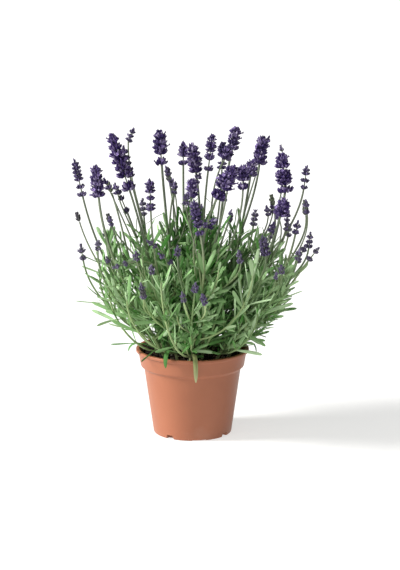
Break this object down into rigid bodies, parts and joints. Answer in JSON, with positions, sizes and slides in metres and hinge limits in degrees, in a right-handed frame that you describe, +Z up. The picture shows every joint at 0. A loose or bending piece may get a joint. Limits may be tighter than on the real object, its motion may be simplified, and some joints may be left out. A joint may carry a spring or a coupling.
{
  "type": "potted lavender",
  "caption": "Flowering lavender plant standing in soil in a round tapered nursery pot, free-standing on the pot's flat foot.",
  "frame": {"origin": "middle of the pot's flat underside, on the pot's axis", "axes": "+Z up along the pot's axis, -Y towards the front, +X to the right seen from the front"},
  "size_m": [0.2795, 0.2812, 0.349],
  "materials": {
    "terracotta_plastic": "satin terracotta-coloured nursery plastic",
    "potting_soil": "rough, dark peat and bark crumbs",
    "lavender_green": "matt grey-green stems and leaves with fine down",
    "lavender_violet": "matt deep violet florets and buds"
  },
  "bodies": {
    "root": {"flower_head_01_1": "lavender_violet", "flower_head_01_2": "lavender_violet", "flower_head_02_1": "lavender_violet", "flower_head_02_2": "lavender_violet", "flower_head_03_1": "lavender_violet", "flower_head_03_2": "lavender_violet", "flower_head_04_1": "lavender_violet", "flower_head_05_1": "lavender_violet", "flower_head_05_2": "lavender_violet", "flower_head_05_3": "lavender_violet", "flower_head_06_1": "lavender_violet", "flower_head_07_1": "lavender_violet", "flower_head_08_1": "lavender_violet", "flower_head_08_2": "lavender_violet", "flower_head_09_1": "lavender_violet", "flower_head_09_2": "lavender_violet", "flower_head_09_3": "lavender_violet", "flower_head_10_1": "lavender_violet", "flower_head_10_2": "lavender_violet", "flower_head_11_1": "lavender_violet", "flower_head_11_2": "lavender_violet", "flower_head_12_1": "lavender_violet", "flower_head_12_2": "lavender_violet", "flower_head_13_1": "lavender_violet", "flower_head_13_2": "lavender_violet", "flower_head_14_1": "lavender_violet", "flower_head_14_2": "lavender_violet", "flower_head_14_3": "lavender_violet", "flower_head_14_4": "lavender_violet", "flower_head_15_1": "lavender_violet", "flower_head_15_2": "lavender_violet", "flower_head_15_3": "lavender_violet", "flower_head_16_1": "lavender_violet", "flower_head_16_2": "lavender_violet", "flower_head_16_3": "lavender_violet", "flower_head_16_4": "lavender_violet", "flower_head_17_1": "lavender_violet", "flower_head_17_2": "lavender_violet", "flower_head_18_1": "lavender_violet", "flower_head_18_2": "lavender_violet", "pot": "terracotta_plastic", "soil": "potting_soil", "spray_01": "lavender_green", "spray_02": "lavender_green", "spray_03": "lavender_green", "spray_04": "lavender_green", "spray_05": "lavender_green", "spray_06": "lavender_green", "spray_07": "lavender_green", "spray_08": "lavender_green", "spray_09": "lavender_green", "spray_10": "lavender_green", "spray_11": "lavender_green", "spray_12": "lavender_green", "spray_13": "lavender_green", "spray_14": "lavender_green", "spray_15": "lavender_green", "spray_16": "lavender_green", "spray_17": "lavender_green", "spray_18": "lavender_green"}
  },
  "joints": []
}
